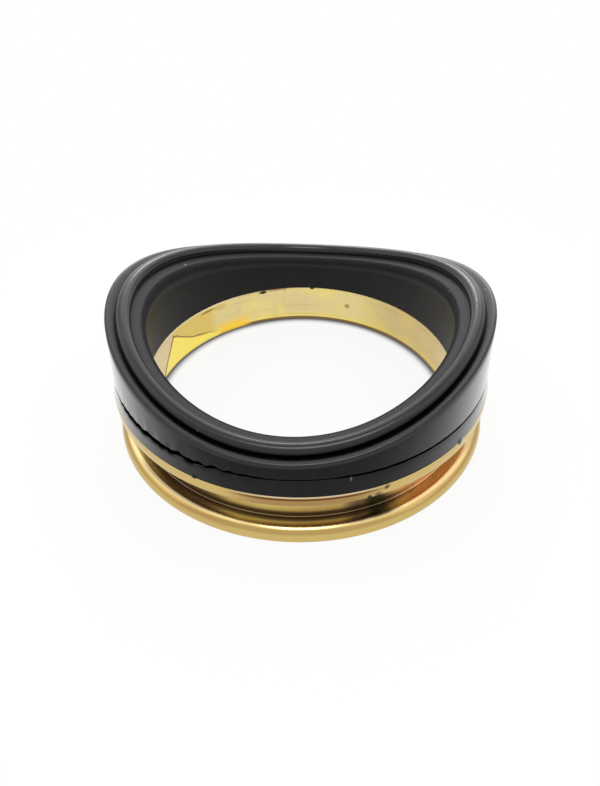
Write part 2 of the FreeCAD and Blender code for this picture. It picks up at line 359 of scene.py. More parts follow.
@dataclass(frozen=True)
class TurnedBrass:
    """Brass, turned on a lathe and lightly tarnished.

    It shows a soft pale golden mirror with fine rings from the tool. In the bore, old fluid has
    left a yellow stain with a dark tide line and a pale patch beside it. Painted shade darkens the
    bore's foot and part of its wall, and a painted highlight lies along part of its top edge.
    Outside, the groove is rusty at the right, and a dark smudge lies beside the rust. Painted
    shade darkens the groove's lower corner, its sides left and right of the front, a band round
    the flange's rounding and the land at the front, with a dark line under the rubber there. The
    land's top edge at the front has a painted highlight, and pale gold painted over the groove
    stands in for the bright reflections on its walls.

    A name that ends in _r is a radius and one in _z a height, in millimetres, or a fade by it. The
    sectors are parts of the turn.
    """

    name: str = "turned_brass"
    gold: str = "#E4D193"
    outside_gold: str = "#CDB36F"
    yellow: str = "#FFE968"
    orange: str = "#FFCF35"
    olive: str = "#DDBF60"
    pale: str = "#D6C29B"
    # A pale colour for the painted highlight on the bore's top edge
    rim_highlight: str = "#F2E7BE"
    # The tide line's brown, which also paints shade at the bore's foot and under the rubber at the
    # front
    tide: str = "#6B4722"
    brown: str = "#946A40"
    groove_corner_shade: str = "#5E4C3A"
    # Pale gold painted over the groove in place of bright reflections
    groove: str = "#E0D09C"
    groove_side_shade: str = "#8A7868"
    rust: str = "#DDB082"
    smudge: str = "#4E4C36"
    rough: float = 0.13
    streaked: float = 0.12
    rougher_inside: float = 0.10
    inside_r: Fade = (39.6, 38.8)
    outside_r: Fade = (40.6, 41.2)
    groove_r: Fade = (44.8, 44.3)
    glow_z: Fade = (3.0, 0.8)
    foot_shade_z: Fade = (1.15, 0.75)
    low_z: Fade = (5.0, 1.8)
    rim_highlight_z: Fade = (10.35, 10.6)
    groove_corner_shade_r: Fade = (43.5, 42.4)
    groove_corner_shade_z: Fade = (5.0, 3.9)
    flange_shade_r: float = 45.2
    flange_shade_z: Fade = (3.3, 2.9)
    front_shade_z: Fade = (9.5, 10.8)
    shoulder_shade_z: float = 13.15
    crown_highlight_z: Fade = (13.5, 13.6)
    stained: Sector = Sector(149.0, 31.0, 1.5)
    old_fluid: Sector = Sector(148.5, 11.5, 2.5)
    low_glow: Sector = Sector(127.5, 6.5, 4.0)
    shaded: Sector = Sector(38.0, 22.0, 12.0)
    rim_highlight_part: Sector = Sector(148.0, 22.0, 8.0)
    groove_side_shade_parts: tuple[Sector, Sector] = (Sector(296.5, 6.5, 3.0), Sector(235.0, 14.0, 6.0))
    front: Sector = Sector(277.0, 16.0, 7.0)
    rusty: Sector = Sector(324.0, 16.0, 6.0)
    smudged: Sector = Sector(298.3, 2.2, 1.8)
    stain_angle: float = 146.0
    stain_top: tuple[tuple[float, float], ...] = (
        (-15.0, 0.6), (-9.5, 1.9), (-2.8, 3.4), (4.0, 4.7), (12.4, 8.3), (14.7, 9.2),
    )
    stain_end: tuple[tuple[float, float], ...] = (
        (14.7, 9.2), (18.7, 5.9), (22.5, 3.1), (25.5, 0.6),
    )
    marks: tuple[Mark, ...] = (
        Mark(74.1, BORE_R, 6.0, 0.75, "#8E8836", strength=0.8),
        Mark(112.2, BORE_R, 10.3, 1.1, "#241B14", tall=0.5),
        Mark(90.2, BORE_R, 10.8, 0.7, "#3A2E1E", tall=0.6),
        Mark(106.2, BORE_R, 10.7, 3.2, "#8F673A", tall=0.14, strength=0.7),
        Mark(139.2, BORE_R, 9.7, 2.6, "#8A6230", tall=0.14, strength=0.75),
        Mark(132.6, BORE_R, 9.3, 2.0, "#B78A4C", tall=0.5, strength=0.4),
        Mark(297.7, RIM_R, 13.2, 0.7, "#3A3222"),
        Mark(295.5, RIM_R, 11.5, 0.9, "#4A3B22", strength=0.8),
        Mark(293.0, 45.6, 11.6, 0.5, "#33291A"),
    )

    def make(self) -> bpy.types.Material:
        """Build the material."""
        material = new_material(self.name)
        tree = material.node_tree
        at = SurfaceCoordinates(tree)
        colour = self._metal(at)
        colour = self._bore_stains(at, colour)
        colour = self._outer_tarnish(at, colour)
        for mark in self.marks:
            colour = at.lay(colour, mark.colour, at.spot(mark), mark.strength)
        # A tool's rings lie about 0.1 mm apart. They are drawn 0.35 mm apart so that they show.
        rings = at.noise((60.0, 0.0, 0.35), 3.0, turned=True)
        streaks = at.noise((34.0, 0.0, 1.6), 2.0, turned=True)
        inside = at.band(at.radius, *self.inside_r)
        smooth = at.slope(streaks, self.streaked, self.rough)
        roughness = at.slope(inside, self.rougher_inside, smooth)
        bump = add_node(
            tree, "ShaderNodeBump", {}, {"Strength": 0.35, "Distance": 0.02 * MM, "Height": rings},
        )
        shader = add_node(
            tree, "ShaderNodeBsdfPrincipled", {},
            {"Base Color": colour, "Metallic": 1.0, "Roughness": roughness,
             "Normal": bump.outputs[0]},
        )
        add_node(tree, "ShaderNodeOutputMaterial", {}, {0: shader.outputs[0]})
        return material

    def _metal(self, at: SurfaceCoordinates) -> Socket:
        """Return the clean metal's colour, with soft yellow patches and faint turned streaks."""
        patches = at.band(at.noise((13.0, 13.0, 8.0), 3.0, 0.55, 0.6), 0.42, 0.68)
        colour = at.lay(linear(self.gold), self.yellow, patches, 0.35)
        greyed = at.band(at.noise((6.0, 6.0, 14.0), 4.0, 0.6, 0.4), 0.5, 0.72)
        colour = at.lay(colour, self.pale, greyed, 0.45)
        # The outside of the ring is laid a darker, warmer gold than the bore
        colour = at.lay(colour, self.outside_gold, at.band(at.radius, *self.outside_r))
        streaks = at.band(at.noise((30.0, 0.0, 0.9), 4.0, 0.6, turned=True), 0.52, 0.75)
        return at.lay(colour, self.brown, streaks, 0.28)

    def _bore_stains(self, at: SurfaceCoordinates, colour: Socket) -> Socket:
        """Lay the yellow stain, its tide line and what lies round it on the bore's wall, with painted
        shade at its foot and in one part of the turn, and a painted highlight along its top edge.

        Args:
            at: the surface's coordinates.
            colour: the colour so far.

        Returns:
            The colour with the stains.
        """
        inside = at.band(at.radius, *self.inside_r)
        wander = at.slope(at.noise((3.0, 3.0, 3.0), 4.0, 0.6), 1.2, -0.6)
        height = at.total(at.height, wander)
        along = at.turned_from(self.stain_angle)
        here = at.both(at.sector(self.stained), inside)
        above_tide = at.past(height, at.course(along, self.stain_top))
        past_end = at.past(height, at.course(along, self.stain_end))
        beside = at.both(at.band(past_end, -0.1, 0.1), at.band(along, 14.2, 14.9))
        glow = at.both(at.band(at.height, *self.glow_z), inside)
        colour = at.lay(colour, self.yellow, glow, 0.45)
        # Painted shade: a dark brown line round the bore's foot, in the tide line's colour
        foot = at.both(at.band(at.height, *self.foot_shade_z), inside)
        colour = at.lay(colour, self.tide, foot, 0.9)
        old_fluid = at.both(at.sector(self.old_fluid), at.band(above_tide, -0.1, 0.2), inside)
        colour = at.lay(colour, self.olive, old_fluid, 0.75)
        low = at.both(at.sector(self.low_glow), at.band(at.height, *self.low_z), inside)
        colour = at.lay(colour, self.orange, low, 0.8)
        shaded = at.both(at.sector(self.shaded), inside, 0.3)
        colour = at.lay(colour, self.brown, shaded)
        stain = at.both(here, at.band(above_tide, 0.15, -0.15), at.band(along, -14.0, -10.0))
        colour = at.lay(colour, self.yellow, stain, 0.85)
        silver = at.both(beside, here)
        colour = at.lay(colour, self.pale, silver, 0.85)
        tide = at.both(at.stripe(above_tide, 0.12, 0.3), here, at.band(along, -12.0, -2.0))
        tide = at.both(tide, at.band(along, 15.5, 14.5), 0.75)
        colour = at.lay(colour, self.tide, tide)
        edge = at.both(at.stripe(past_end, 0.25, 0.45), here, at.band(along, 14.0, 14.9), 0.8)
        colour = at.lay(colour, self.tide, edge)
        # Painted highlight: a pale line along the bore's top edge, in part of the turn, where it
        # catches the light
        rim_highlight = at.both(at.band(at.height, *self.rim_highlight_z), at.sector(self.rim_highlight_part), inside)
        return at.lay(colour, self.rim_highlight, rim_highlight, 0.8)

    def _outer_tarnish(self, at: SurfaceCoordinates, colour: Socket) -> Socket:
        """Lay painted shade and light on the land's front, in the groove and on the flange, brown
        tarnish in the groove, rust, and a dark smudge.

        Args:
            at: the surface's coordinates.
            colour: the colour so far.

        Returns:
            The colour with the tarnish.
        """
        outside = at.band(at.radius, *self.outside_r)
        groove = at.both(outside, at.band(at.radius, *self.groove_r))
        cloud = at.band(at.noise((16.0, 16.0, 3.0), 3.0), 0.3, 0.7)
        # Painted light: pale gold over the groove stands in for the bright reflections on its walls
        colour = at.lay(colour, self.groove, groove)
        colour = at.lay(colour, self.brown, groove, cloud, 0.25)
        # Painted shade: the groove is laid darker and greyer left and right of the front
        groove_side_shade = at.either(*(at.sector(part) for part in self.groove_side_shade_parts))
        colour = at.lay(colour, self.groove_side_shade, groove_side_shade, groove, 0.8)
        # Painted shade: the groove's lower inner corner is laid dark
        corner = at.band(at.radius, *self.groove_corner_shade_r)
        groove_corner_shade = at.both(groove, corner, at.band(at.height, *self.groove_corner_shade_z))
        colour = at.lay(colour, self.groove_corner_shade, groove_corner_shade, 0.85)
        # Painted shade: a brown band round the flange's rounding
        off_ring = at.past(at.radius, self.flange_shade_r)
        worn = at.both(at.stripe(off_ring, 0.2, 0.35), 0.45, at.band(at.height, *self.flange_shade_z))
        colour = at.lay(colour, self.brown, worn)
        # Painted shade: at the front the land and the top of the groove are laid browner
        front = at.both(at.sector(self.front), outside, at.band(at.height, *self.front_shade_z))
        colour = at.lay(colour, self.brown, front, 0.7)
        # Painted shade: a dark line on the land just under the rubber, at the front
        off_shoulder = at.past(at.height, self.shoulder_shade_z)
        shoulder_shade = at.both(at.stripe(off_shoulder, 0.2, 0.15), front)
        colour = at.lay(colour, self.tide, shoulder_shade)
        # Painted highlight: the land's rounded top edge at the front is laid pale
        crown = at.both(at.band(at.height, *self.crown_highlight_z), front)
        colour = at.lay(colour, self.pale, crown)
        patch = at.band(at.noise((9.0, 9.0, 2.5), 3.0, 0.6), 0.28, 0.5)
        side = at.both(at.sector(self.rusty), groove, patch, 0.8)
        colour = at.lay(colour, self.rust, side)
        flecks = at.band(at.noise((2.4, 2.4, 1.6), 4.0, 0.65), 0.26, 0.46)
        smudge = at.both(at.sector(self.smudged), groove, flecks, 0.8)
        return at.lay(colour, self.smudge, smudge)


@dataclass(frozen=True)
class MouldedNitrile:
    """Black nitrile rubber, moulded against polished steel.

    It is nearly black. The outer wall is smooth and mirrors the room where it is seen along its
    surface. The lands are matt with a faint grey bloom, the bead is shinier, and dust specks
    cling to it. Painted shade darkens the creases at the bead's feet, more so at the front, and
    the seam's slit, and takes their reflection away.
    """

    name: str = "moulded_nitrile_rubber"
    black: str = "#080808"
    grey: str = "#0F0F10"
    bloom: str = "#2F2E32"
    dust: str = "#A9A7A2"
    rough: float = 0.10
    uneven: float = 0.06
    rougher_land: float = 0.32
    rough_port: float = 0.46
    rough_lip: float = 0.75
    wall_shine: float = 0.30
    land_shine: float = 0.20
    bead_shine: float = 0.22
    lip_shine: float = -0.25
    port_r: Fade = (39.0, 38.4)
    lip_r: Fade = (37.2, 36.5)
    bead_r: Fade = (38.8, 39.1)
    crack_fade: Fade = (0.10, 0.02)
    along_surface: Fade = (0.24, 0.74)
    front_crease_shade: Sector = Sector(275.0, 55.0, 25.0)
    dust_cell: float = 4.0
    marks: tuple[Mark, ...] = (
        # The grey tick across the seam is a painted highlight where its edge catches the light
        Mark(287.9, 45.1, 17.6, 0.22, "#5A5A5A", tall=3.4),
        Mark(7.0, 43.2, 32.2, 0.30, "#C8C8C4"),
        Mark(148.5, 37.6, 27.4, 0.35, "#9A9A9C"),
    )

    def make(self) -> bpy.types.Material:
        """Build the material."""
        material = new_material(self.name)
        tree = material.node_tree
        at = SurfaceCoordinates(tree)
        mottle = at.band(at.noise((5.0, 5.0, 5.0), 4.0, 0.6), 0.35, 0.7)
        colour = at.lay(linear(self.black), self.grey, mottle)
        land = add_node(tree, "ShaderNodeAttribute", {"attribute_name": "land"}).outputs["Fac"]
        crack = add_node(tree, "ShaderNodeAttribute", {"attribute_name": "crack"}).outputs["Fac"]
        # The skin's own grain is finer. It is drawn 0.55 mm across so that it shows.
        grain = at.noise((0.55, 0.55, 0.55), 4.0, 0.65)
        cloud = at.slope(grain, 0.9, 0.1)
        colour = at.lay(colour, self.bloom, land, cloud)
        colour = at.lay(colour, self.dust, self._dust(at))
        for mark in self.marks:
            colour = at.lay(colour, mark.colour, at.spot(mark), mark.strength)
        # Painted shade: the creases at the bead's feet are darkened, more so at the front, and lose
        # their reflection
        crease = add_node(tree, "ShaderNodeAttribute", {"attribute_name": "crease"}).outputs["Fac"]
        crease_shade_strength = at.slope(at.sector(self.front_crease_shade), 0.45, 0.40)
        shut = at.past(1.0, at.both(crease, crease_shade_strength))
        # Painted shade: the seam's slit is black as well, and open_skin is 1 only away from it and
        # the creases
        open_skin = at.both(at.band(crack, *self.crack_fade), shut)
        colour = at.tint(open_skin, BLACK, colour)
        soft = at.slope(at.noise((3.0, 3.0, 3.0), 3.0), self.uneven, self.rough)
        roughness = at.slope(land, self.rougher_land, soft)
        in_port = at.band(at.radius, *self.port_r)
        roughness = at.either(roughness, at.both(in_port, self.rough_port))
        lip = at.both(at.band(at.radius, *self.lip_r), land)
        roughness = at.either(roughness, at.both(lip, self.rough_lip))
        worn = add_node(
            tree, "ShaderNodeMath", {"operation": "MULTIPLY", "use_clamp": True}, {0: land, 1: 2.5},
        ).outputs[0]
        polished = at.past(1.0, at.either(worn, in_port))
        facing = add_node(tree, "ShaderNodeLayerWeight", {}, {"Blend": 0.5}).outputs["Facing"]
        wax = at.both(polished, open_skin, at.band(facing, *self.along_surface))
        bead = at.band(at.radius, *self.bead_r)
        shine = at.slope(bead, self.bead_shine, self.land_shine)
        shine = at.slope(at.band(land, 0.0, 0.25), shine, self.wall_shine)
        shine = at.slope(lip, self.lip_shine, shine)
        skin = at.slope(land, 1.2, 0.12)
        bump = add_node(
            tree, "ShaderNodeBump", {},
            {"Strength": skin, "Distance": 0.04 * MM, "Height": grain},
        )
        shader = add_node(
            tree, "ShaderNodeBsdfPrincipled", {},
            {"Base Color": colour, "Roughness": roughness, "IOR": 1.35,
             "Coat Weight": wax, "Coat IOR": 1.5, "Coat Roughness": 0.10,
             "Specular IOR Level": at.both(open_skin, shine), "Normal": bump.outputs[0]},
        )
        add_node(tree, "ShaderNodeOutputMaterial", {}, {0: shader.outputs[0]})
        return material

    def _dust(self, at: SurfaceCoordinates) -> Socket:
        """Return 1 on sparse specks of dust about 0.3 mm across."""
        vector = add_node(
            at.tree, "ShaderNodeVectorMath", {"operation": "SCALE"},
            {0: at.place, "Scale": 1.0 / self.dust_cell},
        )
        cells = add_node(
            at.tree, "ShaderNodeTexVoronoi", {}, {"Vector": vector.outputs[0], "Scale": 1.0},
        )
        near = at.band(cells.outputs["Distance"], 0.05, 0.03)
        parts = add_node(at.tree, "ShaderNodeSeparateXYZ", {}, {0: cells.outputs["Color"]})
        rare = at.band(parts.outputs[0], 0.60, 0.62)
        return at.both(near, rare, 0.5)


@dataclass(frozen=True)
class StudioPaper:
    """White paper under soft light: it shows near white and keeps the object's shadow.

    Within the port a painted contact shadow darkens it towards the ring's foot, from
    contact_reach inside port_r.
    """

    name: str = "white_studio_paper"
    paper: str = "#F4F4F3"
    shown_white: float = 0.86
    port_r: float = 38.4
    edge_fade: float = 0.2
    contact_reach: float = 3.6
    contact_dark: float = 0.92
    fades_from: float = 60.0
    white_from: float = 150.0

    def make(self) -> bpy.types.Material:
        """Build the material, whose white is added only for what is seen or mirrored."""
        material = new_material(self.name)
        tree = material.node_tree
        at = SurfaceCoordinates(tree)
        seen = add_node(tree, "ShaderNodeLightPath").outputs["Is Camera Ray"]
        # Painted shadow: as seen by the camera, the paper darkens inside the port towards the ring's
        # foot
        near = at.band(at.radius, self.port_r - self.contact_reach, self.port_r)
        in_port = at.band(at.radius, self.port_r + self.edge_fade, self.port_r)
        contact = at.both(near, near, in_port, seen)
        opened = at.slope(contact, -self.contact_dark, 1.0)
        colour = at.lay(BLACK, self.paper, opened)
        matt = add_node(tree, "ShaderNodeBsdfDiffuse", {}, {"Color": colour})
        white = add_node(tree, "ShaderNodeEmission", {}, {"Color": WHITE, "Strength": opened})
        far = at.band(at.radius, self.fades_from, self.white_from)
        white_share = at.slope(far, 1.0 - self.shown_white, self.shown_white)
        share = at.both(seen_or_mirrored(tree), white_share)
        both = add_node(
            tree, "ShaderNodeMixShader", {},
            {0: share, 1: matt.outputs[0], 2: white.outputs[0]},
        )
        add_node(tree, "ShaderNodeOutputMaterial", {}, {0: both.outputs[0]})
        return material


def seen_or_mirrored(tree: bpy.types.NodeTree) -> Socket:
    """Return 1 for camera, glossy and transmission rays and 0 for the rays that light surfaces."""
    rays = add_node(tree, "ShaderNodeLightPath").outputs
    shown = rays["Is Camera Ray"]
    for kind in ("Is Glossy Ray", "Is Transmission Ray"):
        either = add_node(
            tree, "ShaderNodeMath", {"operation": "MAXIMUM"}, {0: shown, 1: rays[kind]},
        )
        shown = either.outputs[0]
    return shown


# Turned meshes


def angle_of(point: Vector) -> float:
    """Return where round the port a point lies, in degrees."""
    return math.degrees(math.atan2(point.y, point.x)) % 360.0


def degrees_between(first: float, second: float) -> float:
    """Return how far apart two angles round the port are, in degrees."""
    return abs((first - second + 180.0) % 360.0 - 180.0)


@dataclass(frozen=True)
class Corner:
    """A corner of a half section: its place and how far its rounding reaches along both sides."""

    radius: float
    height: float
    rounding: float = 0.0
    segments: int = 1


def turn_section(corners: list[Corner], spacing: float, steps: int) -> bmesh.types.BMesh:
    """Turn a closed half section through a full circle about the port's axis.

    Args:
        corners: the section's corners in order.
        spacing: the longest edge that the section keeps, so that shading stays even.
        steps: divisions of the full turn.

    Returns:
        A closed mesh in millimetres.
    """
    shape = bmesh.new()
    points = [shape.verts.new((corner.radius, 0.0, corner.height)) for corner in corners]
    shape.faces.new(points)
    roundings = sorted({
        (corner.rounding, corner.segments) for corner in corners if corner.rounding
    })
    for rounding, segments in roundings:
        chosen = [
            point for point, corner in zip(points, corners)
            if (corner.rounding, corner.segments) == (rounding, segments)
        ]
        bmesh.ops.bevel(
            shape, geom=chosen, offset=rounding, offset_type="OFFSET", segments=segments,
            profile=0.5, affect="VERTICES", material=-1,
        )
    bmesh.ops.delete(shape, geom=shape.faces[:], context="FACES_ONLY")
    by_cuts: dict[int, list[bmesh.types.BMEdge]] = {}
    for edge in shape.edges:
        by_cuts.setdefault(math.ceil(edge.calc_length() / spacing) - 1, []).append(edge)
    for cuts, edges in by_cuts.items():
        if cuts > 0:
            bmesh.ops.subdivide_edges(shape, edges=edges, cuts=cuts)
    bmesh.ops.spin(
        shape, geom=shape.verts[:] + shape.edges[:], cent=(0.0, 0.0, 0.0), axis=(0.0, 0.0, 1.0),
        dvec=(0.0, 0.0, 0.0), angle=FULL_TURN, steps=steps, use_merge=True, use_duplicate=False,
    )
    bmesh.ops.remove_doubles(shape, verts=shape.verts[:], dist=MERGE_DISTANCE)
    return shape


def finish_piece(
    shape: bmesh.types.BMesh, name: str, node: str, material: bpy.types.Material,
) -> bpy.types.Object:
    """Make a finished mesh an object of the frame, in metres, standing for its solid.

    Args:
        shape: the mesh in millimetres, which is freed.
        name: the piece's name.
        node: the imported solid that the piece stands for.
        material: the finish.

    Returns:
        The new object.
    """
    bmesh.ops.recalc_face_normals(shape, faces=shape.faces[:])
    bmesh.ops.scale(shape, verts=shape.verts[:], vec=(MM, MM, MM))
    for face in shape.faces:
        face.smooth = True
    for edge in shape.edges:
        edge.smooth = edge.calc_face_angle(0.0) < SHARP_ANGLE
    mesh = bpy.data.meshes.new(name)
    shape.to_mesh(mesh)
    shape.free()
    mesh.materials.append(material)
    piece = bpy.data.objects.new(name, mesh)
    bpy.context.scene.collection.objects.link(piece)
    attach(piece, "root")
    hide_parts(node)
    LOG.info("%s: %d faces in place of %s", name, len(mesh.polygons), node)
    return piece


@dataclass
class BrassRing:
    """The turned brass ring: flange, O-ring groove, upper land and the rebate for the rubber."""

    floor_r: float = 41.5
    flange_top: float = 3.1
    flange_round: float = 2.7
    groove_top: float = 11.2
    foot_round: float = 0.5
    edge_round: float = 0.3
    land_round: float = 0.35
    bore_round: float = 0.2
    steps: int = 480
    spacing: float = 0.8
    finish: TurnedBrass = field(default_factory=TurnedBrass)

    def corners(self) -> list[Corner]:
        """Return the half section, from the bore's foot outwards and back."""
        return [
            Corner(BORE_R, 0.0, self.foot_round, 2),
            Corner(RIM_R, 0.0, self.edge_round, 3),
            Corner(RIM_R, self.flange_top, self.flange_round, 16),
            Corner(self.floor_r, self.flange_top, self.edge_round, 5),
            Corner(self.floor_r, self.groove_top, self.edge_round, 5),
            Corner(LAND_R, self.groove_top, self.edge_round, 3),
            Corner(LAND_R, BRASS_TOP_Z, self.land_round, 4),
            Corner(REBATE_R, BRASS_TOP_Z),
            Corner(REBATE_R, LEDGE_Z),
            Corner(BORE_R, LEDGE_Z, self.bore_round, 4),
        ]

    def build(self) -> bpy.types.Object:
        """Build the ring and dress it."""
        shape = turn_section(self.corners(), self.spacing, self.steps)
        return finish_piece(shape, "turned_brass_ring", "brass_ring", self.finish.make())


@dataclass(frozen=True)
class Ripple:
    """A wavering round the turn: how much, over how many millimetres, and which of its kind."""

    amount: float
    period: float
    seed: float


@dataclass
class PartingLine:
    """The trimmed seam that the mould's halves left round the rubber wall.

    It is wide and torn at the left front, faint at the front and a clean line elsewhere. Angles are
    in degrees, and gaps and depths in millimetres.
    """

    height: float = 18.5
    radius: float = 45.0
    half_gap: float = 0.2
    deep: float = 0.9
    reach: float = 1.6
    torn_angle: float = 235.0
    torn_half_width: float = 19.0
    widest_angle: float = 226.0
    widest_half_width: float = 4.0
    faint_angle: float = 268.0
    faint_half_width: float = 12.0
    fade: float = 14.0
    lowered: float = 0.35
    clean_gap: float = 0.66
    faint_gap: float = 0.32
    least_gap: float = 0.16
    widest_gap: float = 0.45
    clean_depth: float = 0.85
    torn_depth: float = 0.30
    shallower: float = 0.45
    strays: Ripple = Ripple(0.22, 14.0, 1.7)
    steps: Ripple = Ripple(4.0, 2.2, 5.1)
    shakes: Ripple = Ripple(0.07, 1.1, 8.3)
    rags: Ripple = Ripple(1.0, 1.3, 11.9)
    thins: Ripple = Ripple(0.25, 4.0, 3.9)
    lips: Ripple = Ripple(0.15, 0.9, 3.3)

    def near(self, angle: float, centre: float, half_width: float) -> float:
        """Return 1 within a sector, in degrees, and 0 past where its ends have faded."""
        off = degrees_between(angle, centre)
        return max(0.0, min(1.0, (half_width + self.fade - off) / self.fade))

    def tear(self, angle: float) -> float:
        """Return 1 where the seam is torn and 0 where it is clean, at an angle in degrees."""
        return self.near(angle, self.torn_angle, self.torn_half_width)

    def waver(self, angle: float, ripple: Ripple, along: float = 0.0) -> float:
        """Return a ripple's value at an angle, and at a place along the port.

        Args:
            angle: where round the turn, in degrees.
            ripple: which wavering.
            along: how far up or down from the seam, in millimetres.

        Returns:
            A value within the ripple's amount, up or down.
        """
        turn = math.radians(angle)
        reach = self.radius / ripple.period
        place = Vector((math.cos(turn) * reach, math.sin(turn) * reach, ripple.seed + along))
        return ripple.amount * noise.noise(place)

    def shift(self, angle: float) -> float:
        """Return how far the seam strays up or down, in steps where it is torn."""
        stray = self.waver(angle, self.strays) - self.lowered
        step = round(self.waver(angle, self.steps)) / 3.0
        return stray + self.tear(angle) * 0.5 * step + self.waver(angle, self.shakes)

    def gap(self, angle: float) -> float:
        """Return the seam's height."""
        ragged = 0.5 + self.waver(angle, self.rags)
        clean = self.clean_gap + 0.10 * ragged
        faint = max(self.least_gap, self.faint_gap + self.waver(angle, self.thins))
        share = self.near(angle, self.faint_angle, self.faint_half_width)
        widest = self.near(angle, self.widest_angle, self.widest_half_width)
        torn = self.tear(angle) * (0.15 + 0.60 * ragged) + self.widest_gap * widest
        return clean + (faint - clean) * share + torn

    def depth(self, angle: float) -> float:
        """Return the seam's depth."""
        faint = self.near(angle, self.faint_angle, self.faint_half_width)
        return self.clean_depth + self.torn_depth * self.tear(angle) - self.shallower * faint


@dataclass(frozen=True)
class Flash:
    """A scrap of rubber that the mould let out over the brass edge.

    Its angle is in degrees. How wide it is and how far it hangs are in millimetres.
    """

    angle: float
    width: float
    hang: float


@dataclass
class RubberSeal:
    """The moulded seal: tongue, outer wall, drawn-in lip, saddle lands and the half-round bead.

    It is turned with a flat top. Then the seam is torn, the flash hangs down and the top is lifted
    onto the saddle. The hair keeps neighbouring corners of the section apart.
    """

    skirt_r: float = 45.55
    skirt_lift: float = 0.12
    hair: float = 0.02
    wall_r: float = 44.25
    lip_r: float = 35.6
    land: float = 21.7
    outer_drop: float = 0.15
    bead_inner_r: float = 39.0
    bead_outer_r: float = 42.2
    bead_rise: float = 1.9
    inner_crease: float = 0.6
    outer_crease: float = 1.3
    crease_dark: float = 1.6
    crest_round: float = 0.6
    lip_round: float = 1.3
    land_cylinder_r: float = 89.0
    rotor_z: float = 110.7
    steps: int = 640
    spacing: float = 0.55
    seam: PartingLine = field(default_factory=PartingLine)
    flashes: tuple[Flash, ...] = (Flash(323.9, 1.5, 1.0), Flash(246.9, 0.9, 0.16))
    flash_thickness: float = 0.06
    flash_lift: float = 0.05
    bloom_reach: float = 3.0
    bloom_fade: float = 1.5
    bead_bloom: float = 0.25
    outer_bloom: float = 0.3
    finish: MouldedNitrile = field(default_factory=MouldedNitrile)

    def corners(self) -> list[Corner]:
        """Return the half section of the seal with its top still flat."""
        outer_land = self.land - self.outer_drop
        crown = self.land + self.bead_rise
        bead_round = (self.bead_outer_r - self.bead_inner_r) / 2.0 - self.hair
        return [
            Corner(BORE_R, LEDGE_Z),
            Corner(REBATE_R, LEDGE_Z),
            Corner(REBATE_R, BRASS_TOP_Z),
            Corner(self.skirt_r, BRASS_TOP_Z),
            Corner(self.skirt_r - self.hair, BRASS_TOP_Z + self.skirt_lift),
            Corner(self.seam.radius, self.seam.height - self.seam.half_gap),
            Corner(self.seam.radius - self.seam.deep, self.seam.height),
            Corner(self.seam.radius, self.seam.height + self.seam.half_gap),
            Corner(self.wall_r, outer_land, self.crest_round, 8),
            Corner(self.bead_outer_r, outer_land),
            Corner(self.bead_outer_r, crown, bead_round, 12),
            Corner(self.bead_inner_r, crown, bead_round, 12),
            Corner(self.bead_inner_r, self.land),
            Corner(self.lip_r, self.land, self.lip_round, 10),
        ]

    def on_outer_wall(self, radius: float) -> bool:
        """Tell whether a point is on the wall outside the bead."""
        return radius > self.bead_outer_r + 0.5

    def land_height(self, across: float) -> float:
        """Return the inner land's height at a distance across the rotor's axis."""
        return self.rotor_z - math.sqrt(self.land_cylinder_r ** 2 - across ** 2)

    def saddle_share(self, radius: float, height: float) -> float:
        """Return how much of the saddle's rise a point of the flat seal takes.

        Args:
            radius: the point's distance from the port's axis.
            height: its height on the flat seal.

        Returns:
            0 at the foot, 1 at the lands, and an even rise between them.
        """
        if radius < BORE_R + SLACK:
            start, end = LEDGE_Z, self.land - self.lip_round - SLACK
        elif self.on_outer_wall(radius):
            start = self.seam.height + self.seam.half_gap
            end = self.land - self.outer_drop - self.crest_round
        else:
            start, end = BRASS_TOP_Z, self.land - 1.0
        return max(0.0, min(1.0, (height - start) / (end - start)))

    def lift(self, flat: Vector, point: Vector) -> Vector:
        """Move a point onto the saddle.

        Args:
            flat: the point's place on the flat-topped seal.
            point: its place once the seam and the flash are torn.

        Returns:
            The point's place on the finished seal.
        """
        land = self.land_height(point.x)
        rise = flat.z - self.land
        if rise > 0.0:
            to_rotor = Vector((-point.x, 0.0, self.rotor_z - land)).normalized()
            return Vector((point.x, point.y, land)) + to_rotor * rise
        share = self.saddle_share(math.hypot(flat.x, flat.y), flat.z)
        return point + Vector((0.0, 0.0, (land - self.land) * share))

    def tear_seam(self, point: Vector) -> Vector:
        """Open the parting line, and let the wall on both sides of it follow.

        Args:
            point: a point of the flat-topped seal.

        Returns:
            Its new place, or the same one where it is away from the seam.
        """
        seam = self.seam
        radius = math.hypot(point.x, point.y)
        off = point.z - seam.height
        if not self.on_outer_wall(radius) or abs(off) > seam.reach:
            return point
        angle = angle_of(point)
        half = seam.gap(angle) / 2.0
        if abs(off) <= seam.half_gap + MERGE_DISTANCE:
            height = seam.height + seam.shift(angle) + off * half / seam.half_gap
            inner = 1.0 - abs(off) / seam.half_gap
            lip = seam.tear(angle) * seam.waver(angle, seam.lips, off)
            inward = (seam.depth(angle) - seam.deep) * inner + lip
        else:
            fade = 1.0 - (abs(off) - seam.half_gap) / (seam.reach - seam.half_gap)
            height = point.z + fade * (seam.shift(angle) + math.copysign(half - seam.half_gap, off))
            inward = 0.0
        keep = (radius - inward) / radius
        return Vector((point.x * keep, point.y * keep, height))

